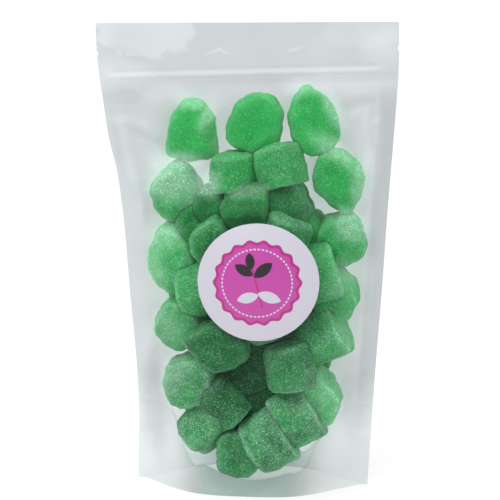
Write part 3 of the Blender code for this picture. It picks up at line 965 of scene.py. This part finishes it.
def back_jellies(draw, sizes, moulds):
    """Staggered rows behind the front layer, in the places that the solid has its bumps."""
    rule = random.Random(BACK_SEED)
    made = []
    count = round((BACK_ROW_HIGH - BACK_ROW_LOW) / BACK_ROW_PITCH) + 1
    for row in range(count):
        z = BACK_ROW_LOW + row * (BACK_ROW_HIGH - BACK_ROW_LOW) / (count - 1)
        left = -along(FILL_LEFT, z) + sizes.width / 2
        right = along(FILL_RIGHT, z) - sizes.width / 2
        across = max(2, round((right - left) / BACK_PITCH) + 1)
        for i in range(across):
            x = left + i * (right - left) / (across - 1) + rule.uniform(-BACK_JITTER, BACK_JITTER)
            up = z + (BACK_ROW_PITCH / 4 if i % 2 else -BACK_ROW_PITCH / 4)
            size = rule.uniform(*BACK_SIZE)
            turn = rule.uniform(*BACK_TURN)
            crown = rule.uniform(*BACK_CROWN)
            # Painted shade at the foot of the back rows, painted light towards their top.
            tone = BACK_PAINTED_LIGHT[0] + (BACK_PAINTED_LIGHT[1] - BACK_PAINTED_LIGHT[0]) * up / BACK_ROW_HIGH
            tone += rule.uniform(*BACK_PAINTED_LIGHT_STRAY)
            frost = BACK_FROST + rule.uniform(*BACK_FROST_STRAY)
            made.append(Jelly(x / MM, up / MM, turn, "top", sizes.width * size / MM,
                              sizes.length * size / MM, crown, i % 3, tone, frost,
                              "back", draw, sizes, moulds))
    return made


def overlap(one, other):
    """How deep two jellies sink into each other, and the way from one to the other."""
    between = other.centre - one.centre
    away = between.normalized()
    return one.reach(away) + other.reach(away) - between.length, away


def worst_overlap(jelly, kept):
    return max([0.0, *[overlap(jelly, other)[0] for other in kept]])


def keep_inside(jelly):
    """Holds a hidden jelly between the gusset, the sides of the filling and its top."""
    x, _, z = jelly.centre
    wide, deep, high = [jelly.reach(axis) for axis in Matrix.Identity(3)]
    jelly.centre.z = min(max(z, GUSSET_LOW + high + ABOVE_GUSSET), HIDDEN_TOP)
    left = -along(FILL_LEFT, z) + wide + HIDDEN_INSET
    right = along(FILL_RIGHT, z) - wide - HIDDEN_INSET
    if jelly.layer == "back":
        jelly.centre.x = min(max(x, left), right - BEHIND_INSET)
        jelly.press(1)
    else:
        jelly.centre.x = min(max(x, left), right)
        limit = fill_depth(x, z) - deep
        jelly.centre.y = min(max(jelly.centre.y, -limit), limit)


def settle(front, hidden):
    """Eases the hidden jellies apart; those that show in front keep their places."""
    jellies = front + hidden
    for _ in range(SETTLE_STEPS):
        for i, one in enumerate(jellies):
            for other in jellies[i + 1:]:
                if one.layer == other.layer == "front":
                    continue
                deep, away = overlap(one, other)
                if deep <= 0:
                    continue
                free = [FREEDOM[j.layer] for j in (one, other)]
                push = away * deep * 0.5 / sum(free)
                one.centre -= push * free[0]
                other.centre += push * free[1]
        for jelly in hidden:
            keep_inside(jelly)


def arrange_jellies(moulds, sizes):
    """Those in front, and the hidden ones that find room behind them, the lowest first."""
    draw = random.Random(SETTLE_SEED)
    shapes = [mesh_points(mould.data) for mould in moulds]
    front = [Jelly(*row, "front", draw, sizes, shapes) for row in FRONT_JELLIES]
    back = back_jellies(draw, sizes, shapes)
    middle = []
    for x, z in MIDDLE_JELLIES:
        middle.append(Jelly(x, z, draw.uniform(0, 360), "top", sizes.width / MM, sizes.length / MM,
                            *MIDDLE_LOOK, "middle", draw, sizes, shapes))
    for jelly in front:
        jelly.press(-1)
    for jelly in back:
        jelly.press(1)
    settle(front, back + middle)
    kept = list(front)
    for jelly in sorted(back + middle, key=lambda j: worst_overlap(j, front)):
        if worst_overlap(jelly, kept) < DEEPEST_OVERLAP:
            kept.append(jelly)
    return sorted(kept, key=lambda j: j.centre.z)


def give_relief(piece, sizes):
    """Gives a piece its lumps and the relief of its sugar."""
    for name, size, strength in (("lumps", LUMP_SIZE, sizes.lump), ("crust", CRUST_SIZE, sizes.crust)):
        texture = bpy.data.textures.new(name, "CLOUDS")
        texture.noise_scale = size
        relief = piece.modifiers.new(name, "DISPLACE")
        relief.texture = texture
        relief.texture_coords = "GLOBAL"
        relief.strength = strength
    finish_modifiers(piece)
    bpy.ops.object.shade_smooth()


def make_jellies(context):
    sizes = context.scene.jelly_sizes
    moulds = [model_mould(i, sizes) for i in range(len(MOULDS))]
    placed = arrange_jellies(moulds, sizes)
    finish = jelly_finish(context.scene.pouch_colours, sizes)
    for first in range(0, len(placed), JELLIES_A_PIECE):
        group = []
        for jelly in placed[first:first + JELLIES_A_PIECE]:
            mesh = moulds[jelly.mould].data.copy()
            edges = edge_share(mesh)
            mesh.transform(jelly.matrix())
            set_looks(mesh, {"tone": jelly.tone, "frost": jelly.frost, "edge": edges})
            made = bpy.data.objects.new("jelly", mesh)
            context.collection.objects.link(made)
            group.append(made)
        piece = join_pieces(group, f"jellies_{first // JELLIES_A_PIECE + 1}")
        give_relief(piece, sizes)
        paint(piece, finish)
        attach(piece, "root")
    for mould in moulds:
        bpy.data.objects.remove(mould, do_unlink=True)


# ---- the film's form ---------------------------------------------------------------------
def film_grid():
    """x and z of every point of a film, columns across and rows up."""
    low = np.linspace(0, BODY_TOP, BODY_ROWS + 1)
    across = np.linspace(-BAG_WIDTH / 2, BAG_WIDTH / 2, BODY_COLUMNS + 2 * SEAL_COLUMNS + 1)
    rows = [np.full(len(across), height) for height in low]
    for step in range(1, HEADER_ROWS + 1):
        rows.append(BODY_TOP + step / HEADER_ROWS * (top_edge(across) - BODY_TOP))
    z = np.array(rows)
    left = -along(LEFT_EDGE, z[:, :1])
    right = along(RIGHT_EDGE, z[:, -1:])
    seal = np.linspace(0, SIDE_SEAL, SEAL_COLUMNS + 1)[None, :-1]
    inner = np.linspace(0, 1, BODY_COLUMNS + 1)[None, :]
    body = (left + SIDE_SEAL) * (1 - inner) + (right - SIDE_SEAL) * inner
    x = np.concatenate([left + seal, body, right - seal[:, ::-1]], axis=1)
    notch = NOTCH_DEEP * np.clip(1 - abs(z - NOTCH_HEIGHT) / (NOTCH_HIGH / 2), 0, 1)
    x[:, 0] = x[:, 0] + notch[:, 0]
    x[:, -1] = x[:, -1] - notch[:, -1]
    return x, z


def first_hit(trees, x, z, side):
    """Depth of the first surface that a straight look into the pouch meets, or 0."""
    depth = np.zeros_like(x)
    way = Vector((0, -side, 0))
    for index in np.ndindex(x.shape):
        origin = Vector((x[index], side * LOOK_FROM, z[index]))
        for tree in trees:
            hit = tree.ray_cast(origin, way)[0]
            if hit is not None:
                depth[index] = max(depth[index], side * hit.y + CLEARANCE)
    return depth


def film_holds(x, z, side):
    """Which points of a film are held, and how deep: at its seals, base and zip and the label."""
    held = np.zeros(x.shape, bool)
    held[:, :SEAL_COLUMNS + 1] = True
    held[:, -SEAL_COLUMNS - 1:] = True
    held[[0, -1], :] = True
    depth = np.full(x.shape, SEAL_THICK / 2)
    depth[0, :] = base_depth(x[0])
    over_zip = abs(z - zip_height(x)) < ZIP_WIDE / 2
    over_zip &= (x > ZIP_SPAN[0]) & (x < ZIP_SPAN[1])
    depth[over_zip] = ZIP_TRACK_THICK / 2 + CLEARANCE
    under = under_label(x, z) & (side < 0)
    depth = np.where(under, label_depth(x, z), depth)
    return held | over_zip | under, depth


def stretched_film(x, z, stops, side):
    """Depth of a film that is pulled taut over the jellies, and where it is held."""
    held, held_depth = film_holds(x, z, side)
    stops = np.maximum(stops, SEAL_THICK / 2)
    depth = np.where(held, held_depth, np.maximum(fill_depth(x, z), stops))
    filled = (x > -along(FILL_LEFT, z)) & (x < along(FILL_RIGHT, z)) & (z < BODY_TOP)
    spacing = (BODY_TOP / BODY_ROWS)**2
    pull = np.where(filled, FILM_CURVE * spacing / 4, 0)[1:-1, 1:-1]
    for _ in range(STRETCH_STEPS):
        middle = np.maximum(around(depth) - pull, stops[1:-1, 1:-1])
        depth[1:-1, 1:-1] = np.where(held[1:-1, 1:-1], depth[1:-1, 1:-1], middle)
    return depth, held


def grid_piece(name, x, y, z, looks):
    """A film from a grid primitive whose points are laid on the given rows and columns."""
    rows, columns = x.shape
    bpy.ops.object.select_all(action="DESELECT")
    bpy.ops.mesh.primitive_grid_add(x_subdivisions=columns - 1, y_subdivisions=rows - 1, size=1)
    made = bpy.context.object
    made.name = name
    flat = mesh_points(made.data)
    c = np.rint((flat[:, 0] + 0.5) * (columns - 1)).astype(int)
    r = np.rint((flat[:, 1] + 0.5) * (rows - 1)).astype(int)
    placed = np.stack([x[r, c], y[r, c], z[r, c]], axis=1)
    made.data.vertices.foreach_set("co", placed.ravel())
    made.data.update()
    set_looks(made.data, {key: np.broadcast_to(look, x.shape)[r, c] for key, look in looks.items()})
    return made


# ---- the film's looks --------------------------------------------------------------------
def patches(x, z, side, rows, rough):
    """The strength of each listed patch, and its share of the light at each point of a film."""
    places = np.stack([x, np.full_like(x, side * 0.1), z], axis=-1)
    uneven = noise_at(places, PATCH_WAVES, PATCH_SEED, 3) * rough
    for px, pz, wide, high, turn, strength, soft in rows:
        u, v = turned(x / MM - (px if side < 0 else -px), z / MM - pz, turn)
        far = (u / wide)**2 + (v / high)**2
        yield strength, soft_step(1 + soft, 1 - soft, far**0.5 + uneven)


def milk_and_glare_patches(x, z, side):
    """Where the film stands off a jelly: haze, and a painted reflection of the light."""
    parts = patches(x, z, side, MILK_AND_GLARE_PATCHES, MILKY_ROUGH)
    return np.max([strength * part for strength, part in parts], axis=0)


def jelly_glow(stops, z):
    """Painted green glow: strongest over the outline of the jellies and softly less to both sides of
    it.
    """
    near = (stops > 0).astype(float)
    for _ in range(GLOW_STEPS):
        near[1:-1, 1:-1] = around(near)
    return 4 * near * (1 - near) * soft_step(*GLOW_END, z)


def film_shade(x, z, side):
    """Painted shade that darkens the film, or painted light where it is below 0: beside its seals,
    under the zip, at its foot and in the painted fields of light and shade.
    """
    left = x - x[:, :1]
    right = x[:, -1:] - x
    body = soft_step(*BODY, z) * soft_step(*BODY_END, z)
    shade = LEFT_SHADE * body * soft_step(*LEFT_REACH, left)
    shade += RIGHT_SHADE * body * soft_step(*RIGHT_REACH, right)
    shade += BAND_SHADE * body * soft_step(*BAND_REACH, right)
    under_zip = (z - zip_height(x) + ZIP_SHADE_BELOW) / ZIP_SHADE_HALF
    shade += ZIP_SHADE * np.exp(-under_zip**4) * soft_step(*ZIP_SHADE_REACH, x)
    shade += SEAL_SHADE * soft_step(*SEAL_REACH, left)
    shade += FOOT_SHADE[side] * soft_step(*FOOT_REACH, z)
    shade += SEAM_SHADE * soft_step(*SEAM_REACH, seam_distance(x, z)) * soft_step(*SEAM_FOOT, z)
    for strength, part in patches(x, z, -1, FILM_LIGHT_AND_SHADE, LIGHT_AND_SHADE_ROUGH):
        shade += strength * part
    return shade


def seam_distance(x, z):
    """How far above the gusset's seam a point of the film is, or below it when negative."""
    sx = np.linspace(-BASE_HALF_WIDTH, BASE_HALF_WIDTH, SEAM_SAMPLES)
    sz = along(SEAM, sx)
    far = np.full_like(x, FAR_OFF)
    for px, pz in zip(sx[sz < SEAM_TOP], sz[sz < SEAM_TOP]):
        far = np.minimum(far, np.hypot(x - px, z - pz))
    return far * np.sign(z - along(SEAM, x))


def film_relief(x, z, depth, gap, held, sizes, side):
    """Free film waves and creases; film that touches a jelly lies close."""
    places = np.stack([x, depth * side, z], axis=-1)
    loose = soft_step(*LOOSE_GAP, gap) * np.where(held, 0.0, 1.0)
    lean = np.array(Matrix.Rotation(math.radians(CREASE_TURN), 3, "Y"))
    drawn = places @ lean * np.array(CREASE_DRAWN)
    waves = noise_at(drawn, RIPPLE_SIZE, sizes.seed)
    folds = 1 - 2 * abs(noise_at(drawn, CREASE_SIZE, sizes.seed + 1, 1))
    relief = sizes.ripple * waves + sizes.crease * (folds - CREASE_LEVEL)
    return depth + loose * relief


def film_gap(trees, x, y, z):
    """How far each point of a film is from the nearest jelly."""
    gap = np.full(x.shape, SEEN_GAP)
    for index in np.ndindex(x.shape):
        here = Vector((x[index], y[index], z[index]))
        for tree in trees:
            found = tree.find_nearest(here, SEEN_GAP)[3]
            if found is not None:
                gap[index] = min(gap[index], found)
    return gap


def make_side_film(x, z, trees, sizes, side):
    """The front film (side -1) or the back film (1), and its depth."""
    stops = first_hit(trees, x, z, side)
    depth, held = stretched_film(x, z, stops, side)
    gap = film_gap(trees, x, side * depth, z)
    depth = film_relief(x, z, depth, gap, held, sizes, side)
    depth = np.maximum(depth, np.maximum(stops, SEAL_THICK / 2))
    places = np.stack([x, np.zeros_like(x), z], axis=-1)
    sway = noise_at(places, SWAY_SIZE, sizes.seed + 5, 1) * SWAY * MM * soft_step(*SWAY_SPAN, z)
    looks = {
        "gap": gap / MM, "milk": milk_and_glare_patches(x, z, side), "shade": film_shade(x, z, side),
        "skirt": np.exp(-(x / SKIRT_SHADE)**4), "seam": seam_distance(x, z) / MM,
        "glow": jelly_glow(stops, z), "up": (z - zip_height(x)) / MM,
    }
    return grid_piece("film", x, side * depth + sway, z, looks), depth


def make_gusset(x, z, depths, trees):
    """The folded base film: it hangs from the seams in both films, under the jellies."""
    seam = along(SEAM, x[0])
    gx, gy, gz = [], [], []
    part = np.linspace(0, 1, GUSSET_STEPS + 1)
    for c in np.flatnonzero(seam < SEAM_TOP):
        front, back = [np.interp(seam[c], z[:, c], depth[:, c]) for depth in depths]
        gx.append(np.full(len(part), x[0, c]))
        gy.append(-front + part * (front + back))
        gz.append(seam[c] - GUSSET_DROP * (1 - abs(2 * part - 1)**3))
    gx, gy, gz = [np.array(rows).T for rows in (gx, gy, gz)]
    roof = np.full(gz.shape, FAR_OFF)
    for index in np.ndindex(gx.shape):
        for tree in trees:
            hit = tree.ray_cast(Vector((gx[index], gy[index], 0)), Vector((0, 0, 1)))[0]
            if hit is not None:
                roof[index] = min(roof[index], max(hit.z - CLEARANCE, GUSSET_LOW / 3))
    for _ in range(GUSSET_RELAX):
        gz[1:-1, 1:-1] = np.minimum(around(gz), roof[1:-1, 1:-1])
    return grid_piece("gusset", gx, gy, gz, GUSSET_LOOKS)


def make_film(context, jellies):
    depsgraph = context.evaluated_depsgraph_get()
    trees = [BVHTree.FromObject(jelly, depsgraph) for jelly in jellies]
    x, z = film_grid()
    sides = [make_side_film(x, z, trees, context.scene.film_sizes, side) for side in (-1, 1)]
    films, depths = zip(*sides)
    film = join_pieces([*films, make_gusset(x, z, depths, trees)], "film")
    bpy.ops.object.mode_set(mode="EDIT")
    bpy.ops.mesh.select_all(action="SELECT")
    bpy.ops.mesh.normals_make_consistent(inside=False)
    bpy.ops.object.mode_set(mode="OBJECT")
    bpy.ops.object.shade_smooth()
    paint(film, film_finish(context.scene.pouch_colours))
    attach(film, "root")
    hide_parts("pouch")
    for jelly in jellies:
        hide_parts("pouch")


# ---- the stage's pieces ------------------------------------------------------------------
def add_light(name, place, aim, size, power):
    lamp = bpy.data.lights.new(name, "AREA")
    lamp.shape = "RECTANGLE"
    lamp.size, lamp.size_y = size
    lamp.energy = power
    made = bpy.data.objects.new(name, lamp)
    bpy.context.collection.objects.link(made)
    made.location = place
    made.rotation_euler = (Vector(aim) - Vector(place)).to_track_quat("-Z", "Y").to_euler()


def sky_on_floor():
    """The light that level ground gets from the sky, as the mean over equal shares of it."""
    rings = (np.arange(SKY_RINGS) + 0.5) / SKY_RINGS
    share, turn = np.meshgrid(rings, np.arange(SKY_SPOKES) / SKY_SPOKES * 2 * math.pi)
    up = np.sqrt(share)
    behind = np.sqrt(1 - share) * np.sin(turn)
    wall = BACKDROP * soft_step(*BACKDROP_EDGE, behind)
    return float(np.mean(SKY_LEVEL + (SKY_TOP - SKY_LEVEL) * up + wall))


def full_light():
    """The light on open floor, from the overhead light and the sky."""
    tilt = [math.radians(angle) for angle in SUN_TILT]
    return SUN_STRENGTH * math.cos(tilt[0]) * math.cos(tilt[1]) / math.pi + sky_on_floor()


def add_sky(context):
    """A soft overhead light, and a studio with a bright wall behind, dimmest in front."""
    lamp = bpy.data.lights.new("overhead", "SUN")
    lamp.energy = SUN_STRENGTH
    lamp.angle = math.radians(SUN_SOFTNESS)
    sun = bpy.data.objects.new("overhead", lamp)
    bpy.context.collection.objects.link(sun)
    sun.rotation_euler = (*[math.radians(angle) for angle in SUN_TILT], 0)
    world = bpy.data.worlds.new("studio")
    context.scene.world = world
    world.use_nodes = True
    studio = Nodes(world.node_tree)
    _, back, up = studio.axes(studio.node("ShaderNodeTexCoord", output="Generated"))
    overhead = studio.node("ShaderNodeMapRange", None, (up, 0.0, 1.0, SKY_LEVEL, SKY_TOP))
    strength = overhead + back.ramp(*BACKDROP_EDGE, 0.0, BACKDROP)
    sky = studio.node("ShaderNodeBackground", None, ((1, 1, 1), strength))
    white = studio.node("ShaderNodeBackground", None, ((1, 1, 1), FLOOR_WHITE * full_light()))
    seen = studio.node("ShaderNodeLightPath", output="Is Camera Ray")
    both = studio.node("ShaderNodeMixShader", None, (seen, sky, white))
    studio.tree.nodes.remove(studio.tree.nodes["Background"])
    studio.put(studio.tree.nodes["World Output"].inputs["Surface"], both)


def add_camera():
    a = math.radians(CAMERA_AZIMUTH)
    e = math.radians(CAMERA_ELEVATION)
    back = Vector((math.sin(a) * math.cos(e), -math.cos(a) * math.cos(e), math.sin(e)))
    camera = bpy.data.objects.new("camera", bpy.data.cameras.new("camera"))
    bpy.context.collection.objects.link(camera)
    camera.location = Vector(CAMERA_AIM) + back * CAMERA_DISTANCE
    turn = (-back).to_track_quat("-Z", "Y").to_matrix().to_4x4()
    roll = Matrix.Rotation(math.radians(CAMERA_ROLL), 4, "Z")
    camera.rotation_euler = (turn @ roll).to_euler()
    camera.data.sensor_width = CAMERA_SENSOR
    camera.data.lens = CAMERA_LENS
    camera.data.clip_start = CAMERA_NEAR
    bpy.context.scene.camera = camera


# ---- operators ---------------------------------------------------------------------------
class POUCH_OT_jellies(bpy.types.Operator):
    """Adds the sugared leaf jellies that fill the pouch"""
    bl_idname = "pouch.jellies"
    bl_label = "Add Jellies"

    def execute(self, context):
        make_jellies(context)
        return {"FINISHED"}


class POUCH_OT_film(bpy.types.Operator):
    """Draws the clear film taut over the jellies"""
    bl_idname = "pouch.film"
    bl_label = "Add Film"

    def execute(self, context):
        jellies = [made for made in context.scene.objects if made.name.startswith("jellies_")]
        make_film(context, jellies)
        return {"FINISHED"}


class POUCH_OT_zip(bpy.types.Operator):
    """Gives the zip its milky plastic"""
    bl_idname = "pouch.zip"
    bl_label = "Finish Zip"

    def execute(self, context):
        paint(frame["nodes"]["zip"], zip_finish(context.scene.pouch_colours))
        return {"FINISHED"}


class POUCH_OT_label(bpy.types.Operator):
    """Prints the round paper label"""
    bl_idname = "pouch.label"
    bl_label = "Print Label"

    def execute(self, context):
        paint(frame["nodes"]["label"], label_finish(context.scene.pouch_colours))
        return {"FINISHED"}


class POUCH_OT_stage(bpy.types.Operator):
    """Sets the floor, the lights and the camera"""
    bl_idname = "pouch.stage"
    bl_label = "Set Stage"

    def execute(self, context):
        bpy.ops.object.select_all(action="DESELECT")
        bpy.ops.mesh.primitive_plane_add(size=FLOOR_SIZE, location=(0, 0, 0))
        floor = context.object
        floor.name = "floor"
        finish = Finish("white_sweep")
        finish.set(base_color=(FLOOR_WHITE - FLOOR_GLOW,) * 3, roughness=0.9, specular_ior_level=0.0)
        finish.set(emission_color=(1, 1, 1), emission_strength=FLOOR_GLOW * full_light())
        floor.data.materials.append(finish.material)
        floor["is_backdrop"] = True
        for lamp in LAMPS:
            add_light(*lamp)
        add_sky(context)
        context.scene.view_settings.view_transform = "Standard"
        add_camera()
        return {"FINISHED"}


class POUCH_PT_panel(bpy.types.Panel):
    """Settings and steps of the pouch"""
    bl_idname = "POUCH_PT_panel"
    bl_label = "Jelly Pouch"
    bl_space_type = "VIEW_3D"
    bl_region_type = "UI"
    bl_category = "Jelly Pouch"

    def draw(self, context):
        for group in (context.scene.jelly_sizes, context.scene.film_sizes, context.scene.pouch_colours):
            box = self.layout.box()
            for name in group.__annotations__:
                box.prop(group, name)
        for step in STEPS:
            self.layout.operator(step.bl_idname)


STEPS = (POUCH_OT_jellies, POUCH_OT_film, POUCH_OT_zip, POUCH_OT_label, POUCH_OT_stage)
CLASSES = (JellySizes, FilmSizes, PouchColours, *STEPS, POUCH_PT_panel)


def register():
    for made in CLASSES:
        bpy.utils.register_class(made)
    bpy.types.Scene.jelly_sizes = PointerProperty(type=JellySizes)
    bpy.types.Scene.film_sizes = PointerProperty(type=FilmSizes)
    bpy.types.Scene.pouch_colours = PointerProperty(type=PouchColours)


def unregister():
    del bpy.types.Scene.jelly_sizes
    del bpy.types.Scene.film_sizes
    del bpy.types.Scene.pouch_colours
    for made in reversed(CLASSES):
        bpy.utils.unregister_class(made)


def main():
    register()
    for step in STEPS:
        group, name = step.bl_idname.split(".")
        getattr(getattr(bpy.ops, group), name)()
    boxes = {"cad": CAD_BOX, "visual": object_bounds()}
    {name: [list(low), list(high)] for name, (low, high) in boxes.items()}


if __name__ == "__main__":
    main()
